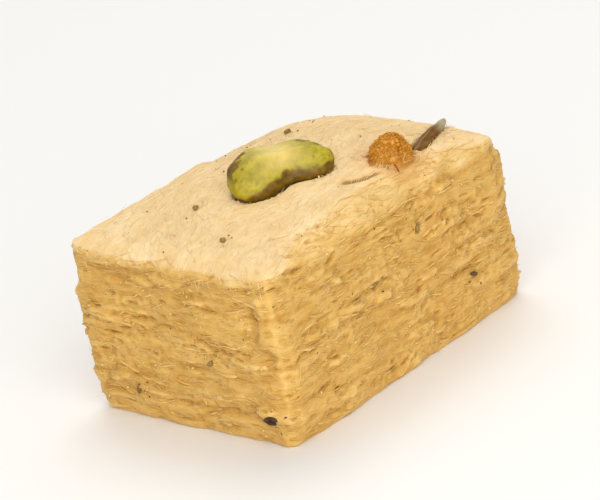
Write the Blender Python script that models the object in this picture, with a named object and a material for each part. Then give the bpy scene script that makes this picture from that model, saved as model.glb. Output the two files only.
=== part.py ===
"""One cut block of soan papdi, with half a pistachio and a dark sliver pressed into its top.

Soan papdi is pulled-sugar floss, folded into layers, pressed flat and cut into blocks. The cut
sides show the layers as ragged steps, with flakes and threads that stand out of them. Cardamom
specks and one dab of saffron-dyed floss are part of the block. The pistachio half and the sliver
with its dark skin are pieces of their own, each in the dent that it has pressed.

Units are metres. The block stands on its cut base: X is its length, Y its width and Z is up.
"""

import math
import random

import bmesh
import bpy
from mathutils import Matrix, Vector, noise
from mathutils.bvhtree import BVHTree

MM = 0.001

# Driving sizes of the block
BLOCK_LENGTH = 43 * MM
BLOCK_WIDTH = 32 * MM
BLOCK_HEIGHT = 22 * MM
FAR_END_WIDTH = 27.5 * MM
CROWN_HEIGHT = 2.4 * MM
CROWN_PLACE = 5 * MM
CROWN_NEAR_RUN = 26.5 * MM
CROWN_FAR_RUN = 20 * MM
CROWN_FULLNESS = 0.4
EDGE_RADIUS = 1.3 * MM
CORNER_RADIUS = 2.0 * MM
BACK_CORNER_RADIUS = 9.0 * MM
CORNER_UNEVENNESS = 0.5
BASE_UNDERCUT = 0.7 * MM
UNDERCUT_HEIGHT = 1.6 * MM

# Layers of floss on the cut sides: depths, and the lengths that their noise varies over
LAYER_COUNT = 8
ROWS_PER_LAYER = 3
LAYER_ROWS = (0.22, 0.80)
LAYER_UNEVENNESS = 0.35
GROOVE_DEPTH = 0.60 * MM
GROOVE_SPREAD = 6 * MM
LAYER_SETBACK = 0.38 * MM
SETBACK_SPREAD = 7 * MM
LAYER_WAVE = 1.3 * MM
WAVE_SPREAD = 9 * MM
CRAG_DEPTH = 0.40 * MM
CRAG_SPREAD = (2.6 * MM, 1.5 * MM)
BULGE_DEPTH = 0.5 * MM
BULGE_SPREAD = 19 * MM
CELL_WIDTH = 1.8 * MM

# The near end: the top sheet's lip over a hollow, and a slanting furrow beside the front corner
END_BAND = 3 * MM
LIP_FADE = (12 * MM, 15.5 * MM)
LIP_OUT = 0.45 * MM
LIP_THICKNESS = 2.1 * MM
LIP_HOLLOW_DEPTH = 0.75 * MM
LIP_HOLLOW_DROP = 3.4 * MM
LIP_HOLLOW_HEIGHT = 0.9 * MM
FURROW_DEPTH = 0.9 * MM
FURROW_WIDTH = 1.2 * MM
FURROW_FROM_CORNER = 2.9 * MM
FURROW_SLANT = 0.4
FURROW_LOW = 9.5 * MM
FURROW_HIGH = 18.5 * MM
FURROW_FADE = 1.5 * MM

# The far end slants outward below the top
FAR_SLANT = 2.6 * MM
FAR_SLANT_HEIGHT = 7.5 * MM

# The pressed top: soft swells, a broken strip along the right of its near edge, and a worn shoulder
# along the near side
SWELL_HEIGHT = 0.30 * MM
SWELL_SPREAD = 6 * MM
BROKEN_DEPTH = 0.75 * MM
BROKEN_WIDTH = 2.6 * MM
SHOULDER_DROP = 0.9 * MM
SHOULDER_WIDTH = 3.2 * MM

# Flakes, threads and specks that are fused to the block, shortest and longest where they vary
FLAKE_COUNT = 40
FLAKE_LENGTH = (3.0 * MM, 6.5 * MM)
FLAKE_HEIGHT = (0.9 * MM, 1.8 * MM)
FLAKE_THICKNESS = (0.7 * MM, 1.0 * MM)
FLAKE_SIDES = 7
FLAKE_TAPER = 0.72
FLAKE_UNEVENNESS = 0.28
FLAKE_CURL = 4.0
FLAKE_OUT = 0.12 * MM
THREAD_COUNT = 22
THREAD_LENGTH = (6 * MM, 11 * MM)
THREAD_RISE = 1.6 * MM
THREAD_RADIUS = 0.30 * MM
THREAD_STEPS = 5
THREAD_SINK = 0.05 * MM
TOP_THREAD_COUNT = 6
TOP_THREAD_LENGTH = 9 * MM
TOP_THREAD_RADIUS = 0.24 * MM
TOP_MARGIN = 5 * MM
SIDE_MARGIN = 2.1 * MM
SAFFRON_DAB_SIZE = (5.8 * MM, 4.8 * MM, 6.0 * MM)
SAFFRON_DAB_PLACE = (8.4 * MM, -11.0 * MM)
SAFFRON_DAB_UNEVENNESS = 0.22
SPECK_SIZE = (1.2 * MM, 0.9 * MM, 0.75 * MM)

# The pistachio half and the dark sliver: place on the top, turn about Z, rise of the far tip and
# lean (degrees), depth of the dent, then length, width and thickness
DENT_GAP = 0.32 * MM
NUTS = {
    "pistachio_half": {
        "place": (-1.9 * MM, -2.3 * MM),
        "turn": -28,
        "rise": 0,
        "lean": 26,
        "sink": 0.8 * MM,
        "size": (13.3 * MM, 7.8 * MM, 5.4 * MM),
    },
    "dark_sliver": {
        "place": (15.5 * MM, -10.9 * MM),
        "turn": 8,
        "rise": 10,
        "lean": 4,
        "sink": 0.6 * MM,
        "size": (8.4 * MM, 1.7 * MM, 1.5 * MM),
    },
}

NUT_SIDES = 20
NUT_RINGS = 16
NUT_TAPER = 0.13
NUT_BEND = 0.10
NUT_KEEL = 0.08
NUT_UNDERSIDE = 0.34
NUT_WAIST = 0.24
NUT_WAIST_PLACE = 0.15
NUT_WAIST_LENGTH = 0.32

# Colours of the viewport materials, linear RGB
FLOSS_COLOUR = (0.80, 0.56, 0.26)
PISTACHIO_COLOUR = (0.42, 0.45, 0.10)
DARK_SKIN_COLOUR = (0.16, 0.11, 0.05)

SEED = 26


def clear_scene():
    """Removes whatever the scene holds."""
    for obj in list(bpy.data.objects):
        bpy.data.objects.remove(obj, do_unlink=True)


def plain_material(name, colour, roughness):
    """A Principled material of one colour."""
    material = bpy.data.materials.new(name)
    material.use_nodes = True
    shader = material.node_tree.nodes["Principled BSDF"]
    shader.inputs["Base Color"].default_value = (*colour, 1)
    shader.inputs["Roughness"].default_value = roughness
    shader.inputs["Metallic"].default_value = 0
    return material


def object_from(bm, name, material=None):
    """A named object that holds the bmesh, which is freed."""
    mesh = bpy.data.meshes.new(name)
    bm.normal_update()
    bm.to_mesh(mesh)
    bm.free()
    obj = bpy.data.objects.new(name, mesh)
    bpy.context.scene.collection.objects.link(obj)
    if material:
        mesh.materials.append(material)
    return obj


def wave(x, y, z, length, height_length=None):
    """Smooth noise from -1 to 1 that varies over the given length, and over another one in height."""
    up = height_length or length
    return noise.noise(Vector((x / length, y / length, z / up)))


def smooth_step(low, high, value):
    """0 below low, 1 above high and smooth between them."""
    t = min(1.0, max(0.0, (value - low) / (high - low)))
    return t * t * (3 - 2 * t)


# A height clear above the block, and the ways into its top and its two near sides
ABOVE = 2 * BLOCK_HEIGHT
DOWN = Vector((0, 0, -1))
INTO_NEAR_END = Vector((1, 0, 0))
INTO_NEAR_SIDE = Vector((0, 1, 0))


def layer_heights(rng):
    """The height of each row of points on the sides: a groove, then the layer's two noses."""
    thickness = [1 + rng.uniform(-LAYER_UNEVENNESS, LAYER_UNEVENNESS) for _ in range(LAYER_COUNT)]
    scale = BLOCK_HEIGHT / sum(thickness)
    rows = []
    base = 0.0
    for t in thickness:
        rows += [base] + [base + share * t * scale for share in LAYER_ROWS]
        base += t * scale
    return rows + [BLOCK_HEIGHT]


def plan_point(u, v):
    """The point of the block's outline, seen from above, at shares u of its length and v of its width."""
    near_side = -BLOCK_WIDTH / 2
    far_side = BLOCK_WIDTH / 2 + u * (FAR_END_WIDTH - BLOCK_WIDTH)
    return (u - 0.5) * BLOCK_LENGTH, near_side + v * (far_side - near_side)


def rounded(u, v, z):
    """Rounds the box's edges: (x, y, z, outward direction) of a point on the unit plan at height z."""
    x, y = plan_point(u, v)
    back_corner = u > 0.5 and v > 0.5
    corner = BACK_CORNER_RADIUS if back_corner else CORNER_RADIUS
    corner *= 1 + CORNER_UNEVENNESS * wave(x, y, z, GROOVE_SPREAD)
    ease_u, ease_v = corner / BLOCK_LENGTH, corner / BLOCK_WIDTH
    inner_u = min(max(u, ease_u), 1 - ease_u)
    inner_v = min(max(v, ease_v), 1 - ease_v)
    across_u, across_v = (u - inner_u) / ease_u, (v - inner_v) / ease_v
    reach = math.hypot(across_u, across_v)
    if reach > 0:
        onto_circle = max(abs(across_u), abs(across_v)) / reach
        across_u, across_v = across_u * onto_circle, across_v * onto_circle
    x, y = plan_point(inner_u + across_u * ease_u, inner_v + across_v * ease_v)
    outward = Vector((across_u, across_v, 0))
    rise = (z - (BLOCK_HEIGHT - EDGE_RADIUS)) / EDGE_RADIUS
    if rise > 0 and outward.length > 0.5:
        outward.z = rise
        drop = 1 - 1 / max(1.0, outward.length)
        x -= across_u * EDGE_RADIUS * drop
        y -= across_v * EDGE_RADIUS * drop
        z -= EDGE_RADIUS * drop
    elif outward.length <= 0.999:
        outward = Vector((0, 0, 1))
    return x, y, z, outward.normalized()


def hump(value, middle, width):
    """1 at the middle, falling to nothing over about twice the width on either side."""
    return math.exp(-(((value - middle) / width) ** 2))


def end_lip(x, y, z):
    """The near end's top sheet stands out over the layer below it, along the left half of its edge."""
    if x > -BLOCK_LENGTH / 2 + END_BAND:
        return 0.0
    along = smooth_step(1 * MM, 4 * MM, y) * (1 - smooth_step(*LIP_FADE, y))
    sheet_bottom = BLOCK_HEIGHT - LIP_THICKNESS
    sheet = smooth_step(sheet_bottom - 0.3 * MM, sheet_bottom + 0.3 * MM, z)
    hollow = hump(z, BLOCK_HEIGHT - LIP_HOLLOW_DROP, LIP_HOLLOW_HEIGHT)
    return along * (LIP_OUT * sheet - LIP_HOLLOW_DEPTH * hollow)


def corner_furrow(x, y, z):
    """A crumbled furrow on the near end, beside the front corner, that slants down towards it."""
    if x > -BLOCK_LENGTH / 2 + END_BAND:
        return 0.0
    slant = FURROW_SLANT * (z - (FURROW_LOW + FURROW_HIGH) / 2)
    middle = -BLOCK_WIDTH / 2 + FURROW_FROM_CORNER + slant
    above_low = smooth_step(FURROW_LOW - FURROW_FADE, FURROW_LOW + FURROW_FADE, z)
    below_high = 1 - smooth_step(FURROW_HIGH - FURROW_FADE, FURROW_HIGH + FURROW_FADE, z)
    return -FURROW_DEPTH * hump(y, middle, FURROW_WIDTH) * above_low * below_high


def side_relief(x, y, z, row):
    """How far a side stands out at a point: steps between layers, grooves and crags."""
    layer, part = divmod(row, ROWS_PER_LAYER)
    setback = LAYER_SETBACK * wave(x, y, layer * 8 * MM + 0.3, SETBACK_SPREAD)
    open_share = smooth_step(-0.05, 0.35, wave(x, y, layer * 11 * MM + 0.9, GROOVE_SPREAD))
    groove = GROOVE_DEPTH * open_share if part == 0 and 0 < layer < LAYER_COUNT else 0.0
    crag = CRAG_DEPTH * wave(x, y, z, *CRAG_SPREAD)
    bulge = BULGE_DEPTH * wave(x, y, z, BULGE_SPREAD)
    foot = BASE_UNDERCUT * (1 - smooth_step(0, UNDERCUT_HEIGHT, z))
    return setback - groove + crag + bulge - foot + end_lip(x, y, z) + corner_furrow(x, y, z)


def top_relief(x, y):
    """How far the pressed top stands up: a crown that is highest past the middle and falls off at its
    long edges, soft swells, one broken strip at the near edge and the near side's worn shoulder."""
    run = CROWN_FAR_RUN if x > CROWN_PLACE else CROWN_NEAR_RUN
    across_x = 1 - ((x - CROWN_PLACE) / run) ** 2
    across_y = 1 - (2 * y / BLOCK_WIDTH) ** 2
    crown = CROWN_HEIGHT * max(0.0, across_x) * max(0.0, across_y) ** CROWN_FULLNESS
    swell = SWELL_HEIGHT * wave(x, y, 0.05, SWELL_SPREAD)
    near_edge = 1 - smooth_step(0, BROKEN_WIDTH, x + BLOCK_LENGTH / 2)
    broken = BROKEN_DEPTH * near_edge * (1 - smooth_step(0, 4 * MM, y))
    from_near_end = smooth_step(0, BLOCK_LENGTH / 6, x + BLOCK_LENGTH / 2)
    to_far_end = 1 - smooth_step(BLOCK_LENGTH / 6, BLOCK_LENGTH / 2, x)
    near_side = 1 - smooth_step(0, SHOULDER_WIDTH, y + BLOCK_WIDTH / 2)
    return crown + swell - broken - SHOULDER_DROP * near_side * from_near_end * to_far_end


def block_core(rng):
    """The pressed block as one closed mesh, with the layers' relief on its sides and a flat base."""
    columns = round(BLOCK_LENGTH / CELL_WIDTH)
    ranks = round(BLOCK_WIDTH / CELL_WIDTH)
    heights = layer_heights(rng)
    rows = len(heights) - 1
    bm = bmesh.new()
    bmesh.ops.create_cube(bm, size=1, matrix=Matrix.Translation((0.5, 0.5, 0.5)))
    for axis, pieces in ((0, columns), (1, ranks), (2, rows)):
        along = [e for e in bm.edges if abs(e.verts[0].co[axis] - e.verts[1].co[axis]) > 0.5]
        bmesh.ops.subdivide_edges(bm, edges=along, cuts=pieces - 1, use_grid_fill=True)
    base = [f for f in bm.faces if f.calc_center_median().z < 1e-6]
    bmesh.ops.dissolve_faces(bm, faces=base, use_verts=False)
    for vert in bm.verts:
        u, v, w = vert.co
        row = round(w * rows)
        x, y, z, outward = rounded(u, v, heights[row])
        level = math.hypot(outward.x, outward.y)
        offset = side_relief(x, y, z, row) * level
        below_top = min(1.0, (BLOCK_HEIGHT - z) / FAR_SLANT_HEIGHT)
        far_slant = FAR_SLANT * math.sin(below_top * math.pi / 2)
        x += outward.x * offset + max(0.0, outward.x) * far_slant
        y += outward.y * offset
        ripple = LAYER_WAVE * wave(x, y, 0.2, WAVE_SPREAD) * math.sin(math.pi * w)
        z += ripple * level + top_relief(x, y) * outward.z
        vert.co = (x, y, z if row else 0.0)
    return bm


def skin_hit(tree, start, towards):
    """The point and outward direction where a line from start meets the block's skin."""
    point, normal, _, _ = tree.ray_cast(start, towards)
    return point, normal


def side_place(rng, clearance):
    """A random start outside one of the four sides: (start, inward direction, direction along the side)."""
    on_long_side = rng.random() < BLOCK_LENGTH / (BLOCK_LENGTH + BLOCK_WIDTH)
    sign = rng.choice((-1, 1))
    height = rng.uniform(SIDE_MARGIN, BLOCK_HEIGHT - SIDE_MARGIN)
    far_clearance = clearance + (BACK_CORNER_RADIUS if sign > 0 else 0)
    if on_long_side:
        x = rng.uniform(clearance, BLOCK_LENGTH - far_clearance) - BLOCK_LENGTH / 2
        return Vector((x, sign * BLOCK_LENGTH, height)), Vector((0, -sign, 0)), Vector((1, 0, 0))
    end_width = FAR_END_WIDTH if sign > 0 else BLOCK_WIDTH
    y = rng.uniform(clearance, end_width - far_clearance) - BLOCK_WIDTH / 2
    return Vector((sign * BLOCK_LENGTH, y, height)), Vector((-sign, 0, 0)), Vector((0, 1, 0))


def turned_frame(along, outward):
    """A rotation whose X runs along and whose Z points outward."""
    z_axis = outward.normalized()
    x_axis = (along - z_axis * along.dot(z_axis)).normalized()
    y_axis = z_axis.cross(x_axis)
    return Matrix((x_axis, y_axis, z_axis)).transposed().to_4x4()


def flake(rng, point, outward, along):
    """A thin uneven scale of floss, half buried, whose free edge stands out of the side."""
    length = rng.uniform(*FLAKE_LENGTH)
    height = rng.uniform(*FLAKE_HEIGHT)
    thickness = rng.uniform(*FLAKE_THICKNESS)
    bm = bmesh.new()
    bmesh.ops.create_cone(
        bm, cap_ends=True, segments=FLAKE_SIDES, radius1=0.5, radius2=0.5 * FLAKE_TAPER, depth=1
    )
    for vert in bm.verts:
        stretch = 1 + FLAKE_UNEVENNESS * rng.uniform(-1, 1)
        vert.co.x *= length * stretch
        vert.co.y *= height * stretch
        vert.co.z = vert.co.z * thickness - FLAKE_CURL * vert.co.x**2
    lean = Matrix.Rotation(rng.uniform(-0.25, 0.5), 4, "X")
    slant = Matrix.Rotation(rng.uniform(-0.22, 0.22), 4, "Z")
    place = Matrix.Translation(point + outward * FLAKE_OUT)
    bm.transform(place @ turned_frame(along, outward) @ slant @ lean)
    return object_from(bm, "flake")


def thread(tree, start, inward, along, rise, length, radius):
    """A thread of floss that lies on the skin, half buried, and thins towards both ends."""
    curve = bpy.data.curves.new("thread", "CURVE")
    curve.dimensions = "3D"
    curve.bevel_depth = radius
    curve.bevel_resolution = 0
    curve.use_fill_caps = True
    points = []
    for step in range(THREAD_STEPS):
        share = step / (THREAD_STEPS - 1) - 0.5
        bend = rise * (share + 0.8 * share * share)
        hit, _ = skin_hit(tree, start + along * length * share + bend, inward)
        if hit is not None:
            points.append((hit + inward * THREAD_SINK, 1 - 1.3 * abs(share)))
    if len(points) < THREAD_STEPS - 1:
        return None
    spline = curve.splines.new("POLY")
    spline.points.add(len(points) - 1)
    for target, (place, width) in zip(spline.points, points):
        target.co = (*place, 1)
        target.radius = width
    obj = bpy.data.objects.new("thread", curve)
    bpy.context.scene.collection.objects.link(obj)
    mesh = bpy.data.meshes.new_from_object(obj)
    bpy.data.objects.remove(obj)
    bm = bmesh.new()
    bm.from_mesh(mesh)
    bmesh.ops.remove_doubles(bm, verts=bm.verts, dist=0.001 * MM)
    bmesh.ops.recalc_face_normals(bm, faces=bm.faces)
    return object_from(bm, "thread")


def speck(point, outward, along, size, fineness=1, unevenness=0.0):
    """A rounded lump, sunk to half its height: a cardamom speck, or the finer and uneven dab."""
    bm = bmesh.new()
    bmesh.ops.create_icosphere(bm, subdivisions=fineness, radius=0.5)
    for vert in bm.verts:
        vert.co *= 1 + unevenness * wave(*vert.co, 0.4)
    bmesh.ops.scale(bm, vec=size, verts=bm.verts)
    bm.transform(Matrix.Translation(point) @ turned_frame(along, outward))
    return object_from(bm, "speck")


# Specks on the top and the sides: a start outside the skin, the way in, the way the speck runs
# and its length as a share of a round one
END_X = -BLOCK_LENGTH
NEAR_Y = -BLOCK_WIDTH
SPECKS = (
    ((-11.5 * MM, 2.8 * MM, ABOVE), DOWN, (1, 0.4, 0), 1.0),
    ((-16.5 * MM, -5.6 * MM, ABOVE), DOWN, (1, 0.6, 0), 0.9),
    ((9.5 * MM, 6.2 * MM, ABOVE), DOWN, (1, -0.3, 0), 1.1),
    ((END_X, 6.8 * MM, 4.7 * MM), INTO_NEAR_END, (0, 0.3, -1), 1.7),
    ((END_X, -5.2 * MM, 9.7 * MM), INTO_NEAR_END, (0, 1, -0.8), 1.1),
    ((END_X, -13.1 * MM, 3.6 * MM), INTO_NEAR_END, (0, 1, 0.2), 1.6),
    ((-3.6 * MM, NEAR_Y, 12.9 * MM), INTO_NEAR_SIDE, (1, 0, 0.4), 1.6),
    ((4.8 * MM, NEAR_Y, 16.8 * MM), INTO_NEAR_SIDE, (0.3, 0, 1), 1.4),
    ((13.5 * MM, NEAR_Y, 7.0 * MM), INTO_NEAR_SIDE, (1, 0, -0.4), 1.4),
    ((8.0 * MM, -NEAR_Y, 14.0 * MM), -INTO_NEAR_SIDE, (1, 0, 0.2), 1.5),
    ((-10.0 * MM, -NEAR_Y, 8.0 * MM), -INTO_NEAR_SIDE, (1, 0, -0.3), 1.2),
    ((-END_X, -4.0 * MM, 13.0 * MM), -INTO_NEAR_END, (0, 1, 0.3), 1.4),
)


def small_relief(tree, rng):
    """Every flake, thread and speck, and the saffron dab, each as a closed object."""
    made = []
    for _ in range(FLAKE_COUNT):
        start, inward, along = side_place(rng, FLAKE_LENGTH[1] / 2)
        point, normal = skin_hit(tree, start, inward)
        made.append(flake(rng, point, (normal - inward).normalized(), along))
    for _ in range(THREAD_COUNT):
        start, inward, along = side_place(rng, THREAD_LENGTH[1] / 2 + CORNER_RADIUS)
        rise = Vector((0, 0, rng.uniform(-THREAD_RISE, THREAD_RISE)))
        length = rng.uniform(*THREAD_LENGTH)
        made.append(thread(tree, start, inward, along, rise, length, THREAD_RADIUS))
    reach_x, reach_y = BLOCK_LENGTH / 2 - TOP_MARGIN, FAR_END_WIDTH / 2 - TOP_MARGIN
    for _ in range(TOP_THREAD_COUNT):
        start = Vector((rng.uniform(-reach_x, reach_x), rng.uniform(-reach_y, reach_y), ABOVE))
        turn = rng.uniform(-0.5, 0.9)
        along = Vector((math.cos(turn), math.sin(turn), 0))
        rise = Vector((-along.y, along.x, 0)) * rng.uniform(-THREAD_RISE, THREAD_RISE)
        made.append(thread(tree, start, DOWN, along, rise, TOP_THREAD_LENGTH, TOP_THREAD_RADIUS))
    for start, inward, along, stretch in SPECKS:
        point, normal = skin_hit(tree, Vector(start), inward)
        size = (SPECK_SIZE[0] * stretch, SPECK_SIZE[1] / stretch**0.5, SPECK_SIZE[2])
        made.append(speck(point, normal, Vector(along), size))
    point, normal = skin_hit(tree, Vector((*SAFFRON_DAB_PLACE, ABOVE)), DOWN)
    dab = speck(point, normal, Vector((1, 0.3, 0)), SAFFRON_DAB_SIZE, 2, SAFFRON_DAB_UNEVENNESS)
    dab.name = "saffron_dab"
    return [obj for obj in made if obj] + [dab]


def apply_boolean(obj, others, operation):
    """Joins the other objects to obj, or cuts them from it, in one Boolean, and removes them."""
    tools = bpy.data.collections.new("boolean_operands")
    for other in others:
        bpy.context.scene.collection.objects.unlink(other)
        tools.objects.link(other)
    bpy.context.scene.collection.children.link(tools)
    cut = obj.modifiers.new(operation.lower(), "BOOLEAN")
    cut.operation = operation
    cut.operand_type = "COLLECTION"
    cut.collection = tools
    cut.solver = "MANIFOLD"
    bpy.context.view_layer.objects.active = obj
    bpy.ops.object.modifier_apply(modifier=cut.name)
    for other in list(tools.objects):
        bpy.data.objects.remove(other, do_unlink=True)
    bpy.data.collections.remove(tools)


def largest_piece(obj):
    """Drops loose scraps that the fusing left, and keeps the block."""
    bm = bmesh.new()
    bm.from_mesh(obj.data)
    bmesh.ops.triangulate(bm, faces=bm.faces)
    unseen = set(bm.verts)
    groups = []
    while unseen:
        group, edge = set(), [unseen.pop()]
        while edge:
            vert = edge.pop()
            group.add(vert)
            near = {e.other_vert(vert) for e in vert.link_edges} & unseen
            unseen -= near
            edge += near
        groups.append(group)
    groups.sort(key=len)
    for group in groups[:-1]:
        bmesh.ops.delete(bm, geom=list(group), context="VERTS")
    bm.to_mesh(obj.data)
    bm.free()


def nut_mesh(size, grown):
    """Part of a pistachio kernel split lengthways: a keeled back, a flatter underside, one broad tip
    and one narrow tip, a slight bend and a waist in one side. It is made larger by the grown distance."""
    length, width, thickness = size
    bm = bmesh.new()
    bmesh.ops.create_uvsphere(bm, u_segments=NUT_SIDES, v_segments=NUT_RINGS, radius=0.5)
    bm.transform(Matrix.Rotation(math.pi / 2, 4, "Y"))
    for vert in bm.verts:
        along = 2 * vert.co.x
        share = min(1.0, abs(along))
        round_end = math.sqrt(max(1e-9, 1 - share**2))
        blunt_end = math.sqrt(max(0.0, 1 - share**2.6))
        narrow = (blunt_end / round_end if share < 0.999 else 1) * (1 - NUT_TAPER * along)
        keel = NUT_KEEL * thickness * hump(vert.co.y, 0, 0.12) * (vert.co.z > 0)
        if vert.co.y < 0:
            narrow *= 1 - NUT_WAIST * hump(along, NUT_WAIST_PLACE, NUT_WAIST_LENGTH)
        vert.co.x *= length
        vert.co.y = width * (vert.co.y * narrow - NUT_BEND * share**2)
        vert.co.z = max(vert.co.z * narrow, -NUT_UNDERSIDE) * thickness + keel
    bm.normal_update()
    if grown:
        for vert in bm.verts:
            vert.co += vert.normal * grown
    return bm


def press_nut(tree, name, material):
    """A nut piece pressed into the top, and the slightly larger shape that makes its dent."""
    nut = NUTS[name]
    hit, _ = skin_hit(tree, Vector((*nut["place"], ABOVE)), DOWN)
    lift = Vector((0, 0, NUT_UNDERSIDE * nut["size"][2] - nut["sink"]))
    turn, rise, lean = (math.radians(nut[angle]) for angle in ("turn", "rise", "lean"))
    where = Matrix.Translation(hit + lift) @ Matrix.Rotation(turn, 4, "Z")
    where = where @ Matrix.Rotation(-rise, 4, "Y") @ Matrix.Rotation(lean, 4, "X")
    dent = nut_mesh(nut["size"], DENT_GAP)
    dent.transform(where)
    pressed = object_from(nut_mesh(nut["size"], 0), name, material)
    pressed.matrix_world = where
    pressed.data.shade_smooth()
    return pressed, object_from(dent, "dent")


def stand_on_origin(objects):
    """Moves every object so that the middle of the whole part's base is the origin."""
    bpy.context.view_layer.update()
    corners = [obj.matrix_world @ vert.co for obj in objects for vert in obj.data.vertices]
    low = Vector(map(min, zip(*corners)))
    high = Vector(map(max, zip(*corners)))
    shift = Matrix.Translation((-(low.x + high.x) / 2, -(low.y + high.y) / 2, -low.z))
    for obj in objects:
        obj.matrix_world = shift @ obj.matrix_world


def build():
    """Makes the block, fuses its small relief, presses the nuts in and stands it on the origin."""
    clear_scene()
    rng = random.Random(SEED)
    floss = plain_material("pressed_floss", FLOSS_COLOUR, 0.75)
    core = block_core(rng)
    tree = BVHTree.FromBMesh(core)
    block = object_from(core, "papdi_block", floss)
    apply_boolean(block, small_relief(tree, rng), "UNION")
    half, half_dent = press_nut(
        tree, "pistachio_half", plain_material("pistachio", PISTACHIO_COLOUR, 0.5)
    )
    sliver, sliver_dent = press_nut(
        tree, "dark_sliver", plain_material("dark_skin", DARK_SKIN_COLOUR, 0.55)
    )
    apply_boolean(block, [half_dent, sliver_dent], "DIFFERENCE")
    largest_piece(block)
    stand_on_origin([block, half, sliver])


build()
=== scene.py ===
import math
import random

import bmesh
import bpy
import numpy as np
from mathutils import Matrix, Vector, noise
from mathutils.bvhtree import BVHTree


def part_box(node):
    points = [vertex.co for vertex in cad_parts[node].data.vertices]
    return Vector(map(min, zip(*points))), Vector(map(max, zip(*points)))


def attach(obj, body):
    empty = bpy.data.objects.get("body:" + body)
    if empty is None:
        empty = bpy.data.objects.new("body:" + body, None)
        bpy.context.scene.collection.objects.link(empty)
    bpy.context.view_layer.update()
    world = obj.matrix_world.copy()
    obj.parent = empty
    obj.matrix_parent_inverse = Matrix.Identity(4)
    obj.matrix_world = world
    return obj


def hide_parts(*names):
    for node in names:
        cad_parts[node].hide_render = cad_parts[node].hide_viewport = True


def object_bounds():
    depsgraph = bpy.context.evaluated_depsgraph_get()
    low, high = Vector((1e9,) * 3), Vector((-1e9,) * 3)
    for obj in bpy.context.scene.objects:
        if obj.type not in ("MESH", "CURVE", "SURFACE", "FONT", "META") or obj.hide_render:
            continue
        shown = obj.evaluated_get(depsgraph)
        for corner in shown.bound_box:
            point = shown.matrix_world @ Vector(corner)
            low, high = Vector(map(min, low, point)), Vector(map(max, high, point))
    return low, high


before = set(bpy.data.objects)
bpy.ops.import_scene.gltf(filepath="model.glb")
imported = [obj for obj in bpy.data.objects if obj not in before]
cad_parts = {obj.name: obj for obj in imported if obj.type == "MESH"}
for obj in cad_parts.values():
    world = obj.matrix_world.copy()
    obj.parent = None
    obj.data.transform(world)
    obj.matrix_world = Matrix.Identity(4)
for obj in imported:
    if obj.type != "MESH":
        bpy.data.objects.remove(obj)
cad_low, cad_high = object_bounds()

# The block: sugar syrup pulled with roasted flour and ghee into floss as fine as hair, folded into
# layers, pressed flat in a tray and cut. The pressed top is pale and smooth, and the cut sides
# show torn fibres, the layers' edges and small hollows where crumbs have fallen out.
MM = 0.001
BLOCK_NODE = "papdi_block"
BLOCK_VOXEL = 0.275 * MM
BLOCK_SMOOTHING = 4
MERGE_DISTANCE = 0.001 * MM
HOLLOW_REACH = 14
HOLLOW_DEPTH = 0.22 * MM
TOP_EDGE_HEIGHT = 21.8 * MM

floor_z = cad_low.z
block_low, block_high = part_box(BLOCK_NODE)
block_middle = (block_low + block_high) / 2
top_z = floor_z + TOP_EDGE_HEIGHT


def smooth_step(low, high, value):
    """0 below low, 1 above high and smooth between them. The limits may be given high to low."""
    t = min(1.0, max(0.0, (value - low) / (high - low)))
    return t * t * (3 - 2 * t)


def stretched_wave(point, along, across, up):
    """Smooth noise from -1 to 1 that varies over its own length along each axis."""
    return noise.noise(Vector((point.x / along, point.y / across, point.z / up)))


def wave(point, along, up=None):
    """Smooth noise from -1 to 1 that varies over one length along and another one in height."""
    return stretched_wave(point, along, along, up or along)


def shown(name, mesh, material):
    """An object of the finished mesh that rides on the one body."""
    obj = bpy.data.objects.new(name, mesh)
    bpy.context.scene.collection.objects.link(obj)
    mesh.materials.clear()
    mesh.materials.append(material)
    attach(obj, "root")
    return obj


def remeshed_node(node, voxel, smoothing):
    """A CAD node's shape as one even mesh of small quads, with its facets smoothed."""
    bm = bmesh.new()
    bm.from_mesh(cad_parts[node].data)
    bmesh.ops.remove_doubles(bm, verts=bm.verts, dist=MERGE_DISTANCE)
    rough = bpy.data.meshes.new("rough")
    bm.to_mesh(rough)
    bm.free()
    obj = bpy.data.objects.new("rough", rough)
    bpy.context.scene.collection.objects.link(obj)
    remesh = obj.modifiers.new("even_quads", "REMESH")
    remesh.mode = "VOXEL"
    remesh.voxel_size = voxel
    smooth = obj.modifiers.new("soft_facets", "SMOOTH")
    smooth.iterations = smoothing
    evaluated = obj.evaluated_get(bpy.context.evaluated_depsgraph_get())
    mesh = bpy.data.meshes.new_from_object(evaluated)
    bpy.data.objects.remove(obj)
    return mesh


def vertex_rows(mesh, kind):
    """The mesh's vertex positions or normals as rows of x, y and z."""
    rows = np.empty(len(mesh.vertices) * 3, np.float32)
    if kind == "co":
        mesh.vertices.foreach_get("co", rows)
    else:
        mesh.vertex_normals.foreach_get("vector", rows)
    return rows.reshape(-1, 3).astype(float)


def blurred(mesh, rows, rounds):
    """Each vertex's row averaged with its neighbours', over and over."""
    edges = np.empty(len(mesh.edges) * 2, np.int32)
    mesh.edges.foreach_get("vertices", edges)
    one, two = edges.reshape(-1, 2).T
    count = len(rows)
    neighbours = np.bincount(one, minlength=count) + np.bincount(two, minlength=count)
    for _ in range(rounds):
        total = np.zeros_like(rows)
        for axis in range(rows.shape[1]):
            total[:, axis] = np.bincount(one, rows[two, axis], count)
            total[:, axis] += np.bincount(two, rows[one, axis], count)
        rows = 0.5 * rows + 0.5 * total / neighbours[:, None]
    return rows


def set_attribute(mesh, name, values):
    """A number on each vertex, for the material to read."""
    attribute = mesh.attributes.new(name, "FLOAT", "POINT")
    attribute.data.foreach_set("value", np.asarray(values, np.float32))


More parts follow.
